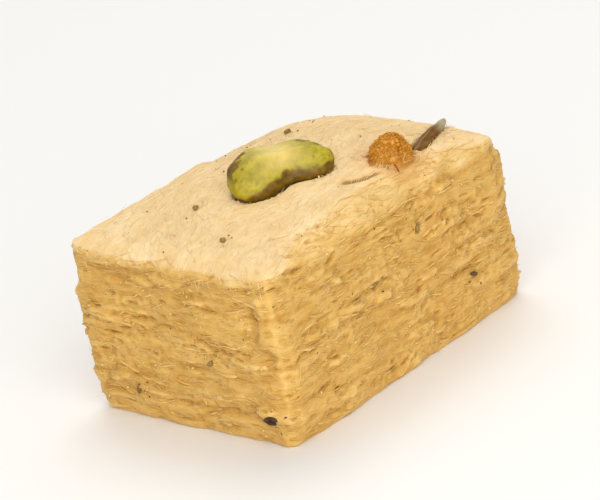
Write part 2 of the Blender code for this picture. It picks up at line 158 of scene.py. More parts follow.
def hollow_shares(mesh, normals, depth):
    """How far each vertex lies below its surroundings, from -1 on a ridge to 1 in a hollow."""
    places = vertex_rows(mesh, "co")
    sunk = blurred(mesh, places, HOLLOW_REACH) - places
    return np.clip(np.einsum("ij,ij->i", sunk, normals) / depth, -1, 1)


# The cut sides: the layers' edges stand out in ridges that wander up and down, with bundles of
# fibres and crumbs on them, and slits where two layers have parted. A reach is how far one ridge
# or bundle runs along the side and, as its second value, how high it is.
LAYER_REACH = (7 * MM, 1.3 * MM)
LAYER_DRIFT = 1.8 * MM
LAYER_RELIEF = 0.18 * MM
BUNDLE_REACH = (3.4 * MM, 0.5 * MM)
BUNDLE_RELIEF = 0.09 * MM
CRUMB_REACH = (1.5 * MM, 1.0 * MM)
CRUMB_GRAIN = 0.65 * MM
CRUMB_RELIEF = 0.09 * MM
ROUGH_REACH = (6 * MM, 4 * MM)
SLIT_REACH = (2.8 * MM, 0.5 * MM)
SLIT_DEPTH = 0.32 * MM


def side_relief(point):
    """How far the cut floss stands out at a point of the sides."""
    drift = LAYER_DRIFT * wave(point, LAYER_REACH[0])
    wandering = Vector((point.x, point.y, point.z + drift))
    rough_share = 0.4 + 0.9 * smooth_step(-0.3, 0.4, wave(point, *ROUGH_REACH))
    layers = LAYER_RELIEF * wave(wandering, *LAYER_REACH)
    bundles = BUNDLE_RELIEF * wave(wandering, *BUNDLE_REACH)
    crumb_rims = abs(wave(point, *CRUMB_REACH))
    crumbs = CRUMB_RELIEF * (0.6 - 2.2 * crumb_rims + wave(point, CRUMB_GRAIN))
    slit = SLIT_DEPTH * smooth_step(0.42, 0.60, wave(wandering, *SLIT_REACH))
    return layers + (bundles + crumbs) * rough_share - slit


# The worn shoulder: handling has rubbed off the near edge of the top, from past the near corner
# until short of the far end, so the sides' rough floss reaches onto a slant there.
SHOULDER_SIDE = -15.6 * MM
SHOULDER_REACH = 3.0 * MM
SHOULDER_STARTS = (-21.5 * MM, -13 * MM)
SHOULDER_ENDS = (21 * MM, 7 * MM)
SHOULDER_RAGGED = 0.9 * MM
SHOULDER_SOFT = 0.8 * MM


def worn_share(point):
    """1 where the top's edge is worn off along the near side, and 0 on the rest of the top."""
    along = smooth_step(*SHOULDER_STARTS, point.x) * smooth_step(*SHOULDER_ENDS, point.x)
    reach = SHOULDER_REACH * along
    inward = point.y - SHOULDER_SIDE + SHOULDER_RAGGED * wave(point, 2.6 * MM)
    return smooth_step(reach + SHOULDER_SOFT, reach - SHOULDER_SOFT, inward)


# The far end: its upper layers were pressed together as the knife came down, so they keep to one
# slope, which leans outward from the top's edge.
FAR_TOP_X = 20.45 * MM
FAR_SLANT = 2.7 * MM
FAR_SLANT_HEIGHT = 7.5 * MM
FAR_SKIN = (-1.6 * MM, -0.8 * MM)
FAR_UPPER_FROM = 15.5 * MM
FAR_UPPER_FULL = 17.5 * MM
FAR_EDGE_ABOVE = 0.2 * MM
FAR_EDGE_BELOW = 0.7 * MM
FAR_HOLD = 0.75


def far_end_pull(point):
    """How far a point moves along X where the far end's upper layers hold together in one slope."""
    below_top = min(1.0, max(0.0, (top_z - point.z) / FAR_SLANT_HEIGHT))
    off_slope = point.x - FAR_TOP_X - FAR_SLANT * math.sin(below_top * math.pi / 2)
    near_end = smooth_step(*FAR_SKIN, off_slope)
    upper = smooth_step(floor_z + FAR_UPPER_FROM, floor_z + FAR_UPPER_FULL, point.z)
    below_edge = smooth_step(top_z + FAR_EDGE_ABOVE, top_z - FAR_EDGE_BELOW, point.z)
    return -FAR_HOLD * off_slope * near_end * upper * below_edge


# The pressed top: a fine felt that lies in swirls, with soft dents and pits, a few thin folds, and
# one crack that has opened between the nut and the dab.
SWIRL_REACH = 11 * MM
SWIRL_DRIFT = 3 * MM
FELT_LENGTH = 3.2 * MM
FELT_WIDTH = 0.6 * MM
FELT_RELIEF = 0.04 * MM
DENT_REACH = 2.8 * MM
DENT_DEPTH = 0.12 * MM
PIT_REACH = 0.9 * MM
PIT_DEPTH = 0.05 * MM
FOLD_REACH = 5 * MM
FOLD_DEPTH = 0.2 * MM
FOLD_WIDTH = 0.03
CRACK_START = Vector((-2.2 * MM, -9.5 * MM, 0))
CRACK_END = Vector((4.1 * MM, -12.0 * MM, 0))
CRACK_WIDTH = 0.60 * MM
CRACK_DEPTH = 0.60 * MM
CRACK_RAGGED = 0.30 * MM


def crack_share(point):
    """1 along the middle of the top's one open crack, and 0 away from it."""
    run = CRACK_END - CRACK_START
    flat = Vector((point.x, point.y, 0)) - CRACK_START
    share = flat.dot(run) / run.length_squared
    aside = (flat - run * share).length + CRACK_RAGGED * wave(point, 1.1 * MM)
    open_share = smooth_step(0.0, 0.35, share) * smooth_step(1.0, 0.8, share)
    return open_share * math.exp(-((aside / CRACK_WIDTH) ** 2))


def top_relief(point):
    """How far the pressed top stands up at a point: a fine felt, soft dents and thin folds."""
    swirl = SWIRL_DRIFT * wave(point, SWIRL_REACH)
    across = Vector((point.x, point.y + swirl, 0))
    felt = FELT_RELIEF * stretched_wave(across, FELT_LENGTH, FELT_WIDTH, FELT_WIDTH)
    dents = DENT_DEPTH * wave(point, DENT_REACH) + PIT_DEPTH * wave(point, PIT_REACH)
    fold = wave(Vector((point.x * 0.35, point.y + swirl, 0.004)), FOLD_REACH)
    folded = smooth_step(0.1, 0.5, wave(point, 7 * MM))
    crease = -FOLD_DEPTH * math.exp(-((fold / FOLD_WIDTH) ** 2)) * folded
    return felt + dents + crease - CRACK_DEPTH * crack_share(point)


# The block's mesh: the CAD shape with this relief on it, and how far each vertex belongs to the top,
# the pale rim under its edge, which is a painted highlight that also blends the sides into the top's
# colour, the crack, the hollows, and the stain that the saffron dab has left. The crack and the
# hollows are painted darker, as painted shade.
TOP_TILT = (0.45, 0.8)
TOP_EDGE_BAND = 1.3 * MM
RIM_BELOW = 2.0 * MM
RIM_ABOVE = 0.4 * MM
RIM_RAGGED = 1.2 * MM
BASE_BAND = 0.5 * MM
DAB_PLACE = Vector((7.35 * MM, -10.55 * MM, 23.7 * MM))
DAB_RADIUS = 2.7 * MM
DAB_RAGGED = 1.1 * MM
DYED_FROM, DYED_FULL = 1.25 * DAB_RADIUS, 0.9 * DAB_RADIUS
HALO_FROM, HALO_FULL = 2.2 * DAB_RADIUS, DAB_RADIUS
HALO_SHARE = 0.45

block_mesh = remeshed_node(BLOCK_NODE, BLOCK_VOXEL, BLOCK_SMOOTHING)
block_normals = blurred(block_mesh, vertex_rows(block_mesh, "normal"), HOLLOW_REACH)
block_normals /= np.linalg.norm(block_normals, axis=1)[:, None]
top_share = np.zeros(len(block_mesh.vertices))
rim_highlight_share = np.zeros(len(block_mesh.vertices))
crack_shade = np.zeros(len(block_mesh.vertices))
saffron_share = np.zeros(len(block_mesh.vertices))
for vert, outward in zip(block_mesh.vertices, block_normals):
    outward = Vector(outward)
    faces_up = smooth_step(*TOP_TILT, outward.z)
    flat_top = faces_up * smooth_step(top_z - TOP_EDGE_BAND, top_z, vert.co.z)
    flat_top *= 1 - worn_share(vert.co)
    top_share[vert.index] = flat_top
    # The crack's groove is also painted darker along its middle: painted shade.
    crack_shade[vert.index] = flat_top * crack_share(vert.co)
    # Painted highlight: a ragged band under the top's edge is painted paler.
    ragged = vert.co.z + RIM_RAGGED * wave(vert.co, 3 * MM)
    rim_highlight_share[vert.index] = smooth_step(top_z - RIM_BELOW, top_z + RIM_ABOVE, ragged)
    from_dab = (vert.co - DAB_PLACE).xy.length + DAB_RAGGED * wave(vert.co, 1.6 * MM)
    halo = HALO_SHARE * smooth_step(HALO_FROM, HALO_FULL, from_dab)
    saffron_share[vert.index] = max(halo, smooth_step(DYED_FROM, DYED_FULL, from_dab))
    above_base = smooth_step(floor_z, floor_z + BASE_BAND, vert.co.z)
    rise = flat_top * top_relief(vert.co) + (1 - flat_top) * side_relief(vert.co)
    vert.co += outward * rise * above_base + Vector((far_end_pull(vert.co), 0, 0))
# The hollow shade shares darken the floss where it lies below its surroundings and under the lip:
# painted shade.
for name, values in (
    ("hollow", hollow_shares(block_mesh, block_normals, HOLLOW_DEPTH)),
    ("top_share", top_share),
    ("rim_highlight_share", rim_highlight_share),
    ("crack_share", crack_shade),
    ("saffron_share", saffron_share),
):
    set_attribute(block_mesh, name, values)
block_mesh.shade_smooth()


def linear(hex_colour):
    """An sRGB hex colour as linear RGB with full alpha."""
    shares = [int(hex_colour[i : i + 2], 16) / 255 for i in (0, 2, 4)]
    return (*[s / 12.92 if s <= 0.04045 else ((s + 0.055) / 1.055) ** 2.4 for s in shares], 1)


def new_material(name, roughness, scatter=0.0, scatter_depth=MM, radius=(1.0, 0.62, 0.25)):
    """A material, its tree and its shader, with an IOR near those of sugar, fat and nut flesh."""
    material = bpy.data.materials.new(name)
    material.use_nodes = True
    tree = material.node_tree
    shader = tree.nodes["Principled BSDF"]
    shader.inputs["Roughness"].default_value = roughness
    shader.inputs["IOR"].default_value = 1.45
    shader.inputs["Subsurface Weight"].default_value = scatter
    shader.inputs["Subsurface Radius"].default_value = radius
    shader.inputs["Subsurface Scale"].default_value = scatter_depth
    return material, tree, shader


def add_node(tree, kind, settings=None, stops=(), give=0, **links):
    """Adds a node with its settings, its colour stops and its links, and returns one output.
    A link names an input, or gives its number after an i, and holds a value or an output."""
    made = tree.nodes.new(kind)
    for name, value in (settings or {}).items():
        setattr(made, name, value)
    if stops:
        elements = made.color_ramp.elements
        while len(elements) < len(stops):
            elements.new(0.5)
        for element, (place, colour) in zip(elements, stops):
            element.position = place
            element.color = linear(colour)
    for name, value in links.items():
        socket = made.inputs[int(name[1:])] if name[1:].isdigit() else made.inputs[name]
        if isinstance(value, bpy.types.NodeSocket):
            tree.links.new(value, socket)
        else:
            socket.default_value = value
    return made.outputs[give]


def weighed(tree, base, *terms):
    """A sum of outputs, each less its middle and times its weight, on top of a base value."""
    total = base
    for value, middle, weight in terms:
        centred = add_node(tree, "ShaderNodeMath", {"operation": "SUBTRACT"}, i0=value, i1=middle)
        total = add_node(
            tree, "ShaderNodeMath", {"operation": "MULTIPLY_ADD"}, i0=centred, i1=weight, i2=total
        )
    return total


def grain(tree, along, across, up, detail=3.0):
    """A pattern whose grain has the given lengths, in metres, along X, Y and Z."""
    place = add_node(tree, "ShaderNodeTexCoord", give="Object")
    scaled = add_node(tree, "ShaderNodeMapping", i0=place, Scale=(1 / along, 1 / across, 1 / up))
    return add_node(tree, "ShaderNodeTexNoise", i0=scaled, Scale=1.0, Detail=detail)


# Pressed floss: boiled sugar fibres bound with ghee and roasted gram flour. Light goes about a
# millimetre into it, so hollows glow deep gold instead of turning black. Single hairs are a few
# hundredths of a millimetre thick, too fine to show, so its bump has the grain of small bundles.
# Its colour is also painted darker in the hollows, under the lip and along the crack, as painted
# shade, and paler under the top's edge, as a painted highlight.
SIDE_TONES = [(0.0, "98641A"), (0.25, "C39039"), (0.5, "D9AC57"), (0.75, "E4BD70"), (1.0, "F0D29A")]
TOP_TONES = [(0.0, "A9803C"), (0.3, "DDB777"), (0.65, "E9C88E"), (1.0, "F2D9AA")]
SAFFRON_TONES = [(0.0, "A65400"), (0.4, "CA800C"), (1.0, "F0AE62")]
FLOSS_BUMP = 0.09 * MM
COLOUR_MIX = {"data_type": "RGBA"}
MIXED_COLOUR = 2

floss, tree, shader = new_material("pressed_floss", 0.6, scatter=0.35, scatter_depth=1.1 * MM)
crumbly = grain(tree, 1.3 * MM, 1.3 * MM, 0.7 * MM, 4)
patches = grain(tree, 5 * MM, 5 * MM, 2.4 * MM)
streaks = grain(tree, 5 * MM, 1.2 * MM, 4 * MM)
layers = grain(tree, 7 * MM, 7 * MM, 0.8 * MM)
bundles = grain(tree, 1.2 * MM, 1.2 * MM, 0.25 * MM)
shares = {
    name: add_node(tree, "ShaderNodeAttribute", {"attribute_name": name}, give="Fac")
    for name in ("hollow", "top_share", "rim_highlight_share", "crack_share", "saffron_share")
}
# The sides' tone is painted darker in the hollows and under the lip, as painted shade, and paler
# under the top's edge, as a painted highlight.
side_tone = weighed(
    tree,
    0.5,
    (shares["hollow"], 0.0, -0.26),
    (crumbly, 0.5, 0.45),
    (layers, 0.5, 0.5),
    (patches, 0.5, 0.6),
    (shares["rim_highlight_share"], 0.2, 0.25),
)
# The top's tone is painted darker in the hollows and along the crack, as painted shade.
top_tone = weighed(
    tree,
    0.6,
    (shares["hollow"], 0.0, -0.3),
    (streaks, 0.5, 0.8),
    (patches, 0.5, 0.5),
    (crumbly, 0.5, 0.3),
    (shares["crack_share"], 0.0, -1.0),
)
# Under the top's edge the pale top colour is mixed into the sides: a painted highlight.
pale_share = weighed(tree, shares["top_share"], (shares["rim_highlight_share"], 0.0, 0.3))
golden = add_node(tree, "ShaderNodeValToRGB", stops=SIDE_TONES, i0=side_tone)
pale = add_node(tree, "ShaderNodeValToRGB", stops=TOP_TONES, i0=top_tone)
dyed = add_node(tree, "ShaderNodeValToRGB", stops=SAFFRON_TONES, i0=top_tone)
colour = golden
for share, other in ((pale_share, pale), (shares["saffron_share"], dyed)):
    colour = add_node(
        tree, "ShaderNodeMix", COLOUR_MIX, give=MIXED_COLOUR, i0=share, i6=colour, i7=other
    )
tree.links.new(colour, shader.inputs["Base Color"])
height = weighed(tree, bundles, (crumbly, 0.5, 0.8))
bump = add_node(tree, "ShaderNodeBump", Height=height, Distance=FLOSS_BUMP, Strength=0.6)
tree.links.new(bump, shader.inputs["Normal"])

block = shown("pressed_block", block_mesh, floss)
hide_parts(BLOCK_NODE)

# Laid fibres: the pulled floss itself, which shows as silky threads along the layers on the cut
# sides and in soft swirls on the pressed top. Each tube stands for a small bundle of sugar hairs,
# sunk to half its thickness. Stray fibres are the ones that the knife has teased up at their tips.
LAID_STEPS = 5
STRAY_STEPS = 6
SIDE_LAID_FIBRES = 5200
TOP_LAID_FIBRES = 2000
SIDE_STRAY_FIBRES = 900
TOP_STRAY_FIBRES = 120
LAID_LENGTH = (1.4 * MM, 4.8 * MM)
STRAY_LENGTH = (1.2 * MM, 4.0 * MM)
FIBRE_RADIUS = (0.020 * MM, 0.055 * MM)
FIBRE_TONE = (0.1, 1)
TIP_SLIMMING = 0.75
TUBE_MERGE_DISTANCE = 0.0002 * MM
SIDE_LAID_LIFT = 0.02 * MM
STRAY_LIFT = 0.40 * MM
FLOOR_GAP = 0.1 * MM
SIDE_FOOT = 0.7 * MM
SIDE_SPREAD = 0.18
TOP_SPREAD = 0.25


def skin_of(mesh, outward):
    """A mesh to lay things on: its search tree, its faces and its vertices' outward directions."""
    corners = [vert.co for vert in mesh.vertices]
    tree = BVHTree.FromPolygons(corners, [face.vertices for face in mesh.polygons])
    return {"tree": tree, "mesh": mesh, "outward": outward}


def skin_near(skin, place):
    """The nearest point of a skin, and the outward direction there."""
    point, _, face, _ = skin["tree"].find_nearest(place)
    return point, Vector(skin["outward"][skin["mesh"].polygons[face].vertices[0]])


def laid_points(rng, skin, start, heading, length, steps, lift, curl):
    """Points of one fibre that follows the skin and rises by the lift towards its tip."""
    points = []
    place = start
    for step in range(steps):
        point, outward = skin_near(skin, place)
        point += outward * lift * (step / (steps - 1)) ** 2
        point.z = max(point.z, floor_z + FLOOR_GAP)
        points.append(point)
        heading = (heading - outward * heading.dot(outward)).normalized()
        heading.rotate(Matrix.Rotation(rng.gauss(0, curl), 3, outward))
        place = point + heading * length / (steps - 1)
    return points


def fibres_mesh(name, fibres):
    """One mesh of thin tubes. Each fibre is its points, its thickness and its tone."""
    curve = bpy.data.curves.new(name, "CURVE")
    curve.dimensions = "3D"
    curve.bevel_depth = 1
    curve.bevel_resolution = 0
    curve.use_fill_caps = True
    last = len(fibres[0][0]) - 1
    slimming = [1 - TIP_SLIMMING * abs(2 * i / last - 1) ** 2 for i in range(last + 1)]
    for points, radius, _ in fibres:
        spline = curve.splines.new("POLY")
        spline.points.add(last)
        spline.points.foreach_set("co", [c for point in points for c in (*point, 1)])
        spline.points.foreach_set("radius", [radius * slim for slim in slimming])
    tubes = bpy.data.objects.new(name, curve)
    bpy.context.scene.collection.objects.link(tubes)
    mesh = bpy.data.meshes.new_from_object(tubes)
    bpy.data.objects.remove(tubes)
    tones = [tone for _, _, tone in fibres]
    set_attribute(mesh, "tone", np.repeat(tones, len(mesh.vertices) // len(fibres)))
    bm = bmesh.new()
    bm.from_mesh(mesh)
    bmesh.ops.remove_doubles(bm, verts=bm.verts, dist=TUBE_MERGE_DISTANCE)
    bmesh.ops.recalc_face_normals(bm, faces=bm.faces)
    bm.to_mesh(mesh)
    bm.free()
    mesh.shade_smooth()
    return mesh


def skin_start(rng, on_top):
    """A random vertex of the block's top or of its sides: its place and outward direction."""
    while True:
        index = rng.randrange(len(block_mesh.vertices))
        place = block_mesh.vertices[index].co
        is_top = top_share[index] > 0.5
        is_side = top_share[index] < 0.3 and place.z > floor_z + SIDE_FOOT
        if is_top if on_top else is_side:
            return place.copy(), Vector(block_normals[index])


def level_heading(rng, outward, spread):
    """A direction along the layers of a side, either way, give or take the spread."""
    level = outward.cross(Vector((0, 0, 1)))
    if level.length < 0.2:
        level = Vector((1, 0, 0))
    level = level.normalized() * rng.choice((-1, 1))
    level.rotate(Matrix.Rotation(rng.gauss(0, spread), 3, outward))
    return level


def swirl_heading(rng, place, spread):
    """A direction along the swirls of the top, give or take the spread."""
    turn = 1.5 * wave(Vector((place.x, place.y, 0)), 13 * MM) + rng.gauss(0.2, spread)
    return Vector((math.cos(turn), math.sin(turn), 0)) * rng.choice((-1, 1))


def block_fibres(rng, on_top, count, lengths, steps, lift, curl):
    """Fibres that lie on the block's top or on its sides."""
    made = []
    for _ in range(count):
        start, outward = skin_start(rng, on_top)
        if on_top:
            heading = swirl_heading(rng, start, TOP_SPREAD)
        else:
            heading = level_heading(rng, outward, SIDE_SPREAD)
        tip = rng.uniform(0.1, 1) * lift
        length = rng.uniform(*lengths)
        points = laid_points(rng, block_skin, start, heading, length, steps, tip, curl)
        made.append((points, rng.uniform(*FIBRE_RADIUS), rng.uniform(*FIBRE_TONE)))
    return made


def floss_fibre(name, tones):
    """The finish of floss threads: fine sugar hairs, pale or golden, with a soft silky gloss."""
    material, tree, shader = new_material(name, 0.5)
    drift = grain(tree, 3 * MM, 3 * MM, 1.5 * MM, 2)
    own_tone = add_node(tree, "ShaderNodeAttribute", {"attribute_name": "tone"}, give="Fac")
    tone = weighed(tree, own_tone, (drift, 0.5, 0.9))
    colour = add_node(tree, "ShaderNodeValToRGB", stops=tones, i0=tone)
    tree.links.new(colour, shader.inputs["Base Color"])
    return material


block_skin = skin_of(block_mesh, block_normals)
golden_fibre = floss_fibre("golden_fibre", [(0.0, "C8983F"), (0.5, "DCB05C"), (1.0, "EAC782")])
pale_fibre = floss_fibre("pale_fibre", [(0.0, "E0BD80"), (0.5, "EBCB92"), (1.0, "F3DCB0")])
rng = random.Random(41)
for name, on_top, count, lengths, steps, lift, curl in (
    ("side_laid_fibres", False, SIDE_LAID_FIBRES, LAID_LENGTH, LAID_STEPS, SIDE_LAID_LIFT, 0.14),
    ("top_laid_fibres", True, TOP_LAID_FIBRES, LAID_LENGTH, LAID_STEPS, 0.0, 0.16),
    ("side_stray_fibres", False, SIDE_STRAY_FIBRES, STRAY_LENGTH, STRAY_STEPS, STRAY_LIFT, 0.32),
    ("top_stray_fibres", True, TOP_STRAY_FIBRES, STRAY_LENGTH, STRAY_STEPS, STRAY_LIFT / 2, 0.35),
):
    mesh = fibres_mesh(name, block_fibres(rng, on_top, count, lengths, steps, lift, curl))
    shown(name, mesh, pale_fibre if on_top else golden_fibre)

# Torn flakes and crumbs: the floss is folded many times, so a cut shows the sheets' edges as thin
# ragged ledges, which break off in scales and crumbs. They are lighter where they are thinnest.
FLAKE_COUNT = 900
FLAKE_LENGTH = (1.4 * MM, 4.6 * MM)
FLAKE_DEPTH = (0.5 * MM, 1.0 * MM)
FLAKE_STOUTNESS = (0.8, 1.6)
FLAKE_THICKNESS = 0.12
FLAKE_OUT = (0.02 * MM, 0.26 * MM)
FLAKE_OFF_SKIN = 0.32 * MM
FLAKE_ENDS = (-0.45, 0.45)
FLAKE_SPREAD = 0.2
FLAKE_TILT = 0.5
FLAKE_ABOVE_BASE = 1.3 * MM
FLAKE_BELOW_TOP = 1.2 * MM
CRUMB_COUNT = 2000
CRUMB_SIZE = (0.12 * MM, 0.42 * MM)
CRUMB_STRETCH = (0.6, 1.2)
CRUMB_OUT = 0.15
ANGULAR = 0.55
MOSTLY_SMALL = 2.5
TEMPLATES = 8


def flake_template(rng):
    """A wavy scale of unit length and depth with one torn edge, which faces +Y."""
    bm = bmesh.new()
    bmesh.ops.create_grid(bm, x_segments=7, y_segments=2, size=0.5)
    seed = rng.uniform(0, 90)
    for vert in bm.verts:
        x, y = vert.co.x, vert.co.y + 0.5
        torn = 1 + 0.55 * noise.noise(Vector((3.1 * x + seed, y, 0)))
        pinch = 1 - 0.75 * abs(2 * x) ** 3
        wavy = 0.16 * noise.noise(Vector((2.3 * x, 1.4 * y, seed)))
        vert.co = (x, (y * torn * pinch) - 0.5, wavy - 0.12 * y * y)
    bmesh.ops.solidify(bm, geom=bm.faces, thickness=FLAKE_THICKNESS)
    bmesh.ops.recalc_face_normals(bm, faces=bm.faces)
    bmesh.ops.triangulate(bm, faces=bm.faces)
    return bm


def crumb_template(rng):
    """An angular crumb of about unit size."""
    bm = bmesh.new()
    bmesh.ops.create_icosphere(bm, subdivisions=1, radius=0.5)
    for vert in bm.verts:
        vert.co *= 1 + ANGULAR * rng.uniform(-1, 1)
    return bm


def from_lowest(face):
    """The numbers of a face's corners in their order, from the lowest."""
    numbers = [vert.index for vert in face.verts]
    start = numbers.index(min(numbers))
    return numbers[start:] + numbers[:start]


def copies_mesh(name, templates, placed):
    """One mesh of many small copies. Each is a template's number, its matrix and its tone. The
    faces are sorted, as the operators may give them in another order on each run."""
    shapes = []
    for bm in templates:
        bm.verts.index_update()
        corners = np.array([vert.co[:] for vert in bm.verts])
        shapes.append((corners, np.array(sorted(from_lowest(face) for face in bm.faces))))
        bm.free()
    corners, faces, tones, used = [], [], [], 0
    for number, matrix, tone in placed:
        shape, shape_faces = shapes[number]
        matrix = np.array(matrix)
        corners.append(shape @ matrix[:3, :3].T + matrix[:3, 3])
        faces.append(shape_faces + used)
        tones.append(np.full(len(shape), tone))
        used += len(shape)
    mesh = bpy.data.meshes.new(name)
    mesh.from_pydata(np.concatenate(corners).tolist(), [], np.concatenate(faces).tolist())
    set_attribute(mesh, "tone", np.concatenate(tones))
    mesh.shade_smooth()
    return mesh


def facing(point, along, outward):
    """A place whose X runs along and whose Y points outward."""
    y_axis = outward.normalized()
    x_axis = (along - y_axis * along.dot(y_axis)).normalized()
    axes = Matrix((x_axis, y_axis, x_axis.cross(y_axis))).transposed().to_4x4()
    return Matrix.Translation(point) @ axes


def any_way(rng):
    """A direction of any kind, not brought to unit length."""
    return Vector([rng.uniform(-1, 1) for _ in range(3)])


def placed_flakes(rng, count):
    """Flakes that lie in the layers of the sides, with the torn edge just out of the skin."""
    made = []
    for _ in range(count):
        start, outward = skin_start(rng, on_top=False)
        along = level_heading(rng, outward, FLAKE_SPREAD)
        length = rng.uniform(*FLAKE_LENGTH)
        ends = [start + along * length * share for share in FLAKE_ENDS]
        off_skin = max((end - skin_near(block_skin, end)[0]).length for end in ends)
        in_layers = floor_z + FLAKE_ABOVE_BASE < start.z < top_z - FLAKE_BELOW_TOP
        if off_skin > FLAKE_OFF_SKIN or not in_layers:
            continue
        leaning = Vector((outward.x, outward.y, FLAKE_TILT * rng.uniform(-1, 1)))
        depth = rng.uniform(*FLAKE_DEPTH)
        size = Matrix.Diagonal((length, depth, depth * rng.uniform(*FLAKE_STOUTNESS), 1))
        sunk = Matrix.Translation((0, rng.uniform(*FLAKE_OUT) - depth / 2, 0))
        place = facing(start, along, leaning) @ sunk @ size
        made.append((rng.randrange(TEMPLATES), place, rng.uniform(0.2, 0.8)))
    return made


def placed_crumbs(rng, count, start_of, sizes):
    """Crumbs that sit on a skin, sunk to a third. Most of them are near the smaller size."""
    made = []
    for _ in range(count):
        start, outward = start_of()
        along = any_way(rng)
        size = sizes[0] + (sizes[1] - sizes[0]) * rng.random() ** MOSTLY_SMALL
        stretch = Matrix.Diagonal([size * rng.uniform(*CRUMB_STRETCH) for _ in range(3)] + [1])
        place = facing(start + outward * size * CRUMB_OUT, along, outward) @ stretch
        made.append((rng.randrange(TEMPLATES), place, rng.uniform(0.2, 1)))
    return made


rng = random.Random(57)
flake_shapes = [flake_template(rng) for _ in range(TEMPLATES)]
flakes = copies_mesh("torn_flakes", flake_shapes, placed_flakes(rng, FLAKE_COUNT))
shown("torn_flakes", flakes, golden_fibre)
crumbs = copies_mesh(
    "side_crumbs",
    [crumb_template(rng) for _ in range(TEMPLATES)],
    placed_crumbs(rng, CRUMB_COUNT, lambda: skin_start(rng, False), CRUMB_SIZE),
)
shown("side_crumbs", crumbs, golden_fibre)

# The cardamom: seeds and a little husk, crushed and folded in with the floss. The seeds are hard
# and angular with dark brown skins, and the husk is thin, olive and papery. Each piece covers the
# bump that it makes in the block, and has a few smaller bits around it.
SEED_LENGTH = 1.15 * MM
SEED_WIDTH = 0.85 * MM
SEED_HEIGHT = 0.70 * MM
SEED_OUT = 0.14 * MM
SEED_CORNERS = 18
SEED_RADIUS = (0.42, 0.54)
SEED_WORN_EDGE = 0.035
BITS_AROUND = 3
BITS_ALONG = 1.4 * MM
BITS_ACROSS = 0.9 * MM
FLECK_COUNT = 300
FLECK_SIZE = (0.08 * MM, 0.26 * MM)
FLECKS_ON_TOP = 0.2
CARDAMOM_TONES = [(0.0, "341802"), (0.4, "6B4616"), (0.7, "8C6A2C"), (1.0, "A48C48")]
CRUSHED_SEEDS = (
    ((-12.55, 3.25, 23.8), (1, 0.4, 0), 1.0, 0.7),
    ((-17.55, -5.15, 23.1), (1, 0.6, 0), 0.9, 0.8),
    ((8.45, 6.65, 24.5), (1, -0.3, 0), 1.1, 0.7),
    ((-22.75, 7.2, 4.7), (0, 0.3, -1), 1.7, 0.5),
    ((-22.75, -4.8, 9.7), (0, 1, -0.8), 1.1, 0.8),
    ((-22.75, -12.7, 3.8), (0, 1, 0.2), 1.8, 0.0),
    ((-22.75, -12.5, 4.4), (0, 1, -0.5), 1.8, 0.1),
    ((-22.75, -13.0, 4.6), (0, 1, 0.7), 1.5, 0.05),
    ((-4.65, -16.0, 12.9), (1, 0, 0.4), 1.6, 0.8),
    ((3.75, -16.0, 16.8), (0.3, 0, 1), 1.4, 0.8),
    ((12.45, -15.9, 7.0), (1, 0, -0.4), 1.4, 0.3),
    ((6.95, 13.9, 14.0), (1, 0, 0.2), 1.5, 0.6),
    ((-11.05, 16.0, 8.0), (1, 0, -0.3), 1.2, 0.2),
    ((22.65, -3.6, 13.0), (0, 1, 0.3), 1.4, 0.5),
)


def seed_template(rng):
    """A broken seed of about unit size: flat fracture faces with slightly worn edges."""
    bm = bmesh.new()
    for _ in range(SEED_CORNERS):
        spot = Vector([rng.gauss(0, 1) for _ in range(3)]).normalized()
        bm.verts.new(spot * rng.uniform(*SEED_RADIUS))
    hull = bmesh.ops.convex_hull(bm, input=bm.verts)
    inside = [part for part in hull["geom_interior"] if isinstance(part, bmesh.types.BMVert)]
    bmesh.ops.delete(bm, geom=inside, context="VERTS")
    bmesh.ops.bevel(
        bm,
        geom=bm.edges[:],
        offset=SEED_WORN_EDGE,
        segments=1,
        affect="EDGES",
        profile=0.5,
        material=-1,
    )
    bmesh.ops.recalc_face_normals(bm, faces=bm.faces)
    bmesh.ops.triangulate(bm, faces=bm.faces)
    return bm


rng = random.Random(23)
seeds = []
for place, along, stretch, tone in CRUSHED_SEEDS:
    place, along = Vector(place) * MM, Vector(along)
    point, outward = skin_near(block_skin, place)
    across = along.cross(outward)
    size = Matrix.Diagonal((SEED_LENGTH * stretch, SEED_HEIGHT, SEED_WIDTH / stretch**0.5, 1))
    lain = facing(point + outward * SEED_OUT, along, outward)
    seeds.append((rng.randrange(TEMPLATES), lain @ size, tone))
    for _ in range(BITS_AROUND):
        off = along.normalized() * rng.gauss(0, BITS_ALONG)
        off += across.normalized() * rng.gauss(0, BITS_ACROSS)
        point, outward = skin_near(block_skin, place + off)
        size = Matrix.Diagonal([rng.uniform(0.15, 0.42) * MM for _ in range(3)] + [1])
        turn = any_way(rng)
        bit = facing(point, turn, outward) @ size
        seeds.append((rng.randrange(TEMPLATES), bit, rng.uniform(0.1, 0.9)))
seed_mesh = copies_mesh("cardamom_seeds", [seed_template(rng) for _ in range(TEMPLATES)], seeds)
flecks = placed_crumbs(
    rng, FLECK_COUNT, lambda: skin_start(rng, rng.random() < FLECKS_ON_TOP), FLECK_SIZE
)
fleck_mesh = copies_mesh("cardamom_flecks", [crumb_template(rng) for _ in range(TEMPLATES)], flecks)

# Crushed cardamom: the seeds' skins are dark reddish brown, and the husk and the broken faces are
# paler and olive. All of it is dry and matt, so the specks look dark from every side.
cardamom, tree, shader = new_material("crushed_cardamom", 0.6)
own_tone = add_node(tree, "ShaderNodeAttribute", {"attribute_name": "tone"}, give="Fac")
mottle = grain(tree, 0.4 * MM, 0.4 * MM, 0.4 * MM)
seed_tone = weighed(tree, own_tone, (mottle, 0.5, 0.5))
seed_colour = add_node(tree, "ShaderNodeValToRGB", stops=CARDAMOM_TONES, i0=seed_tone)
tree.links.new(seed_colour, shader.inputs["Base Color"])
shown("cardamom_seeds", seed_mesh, cardamom)
shown("cardamom_flecks", fleck_mesh, cardamom)

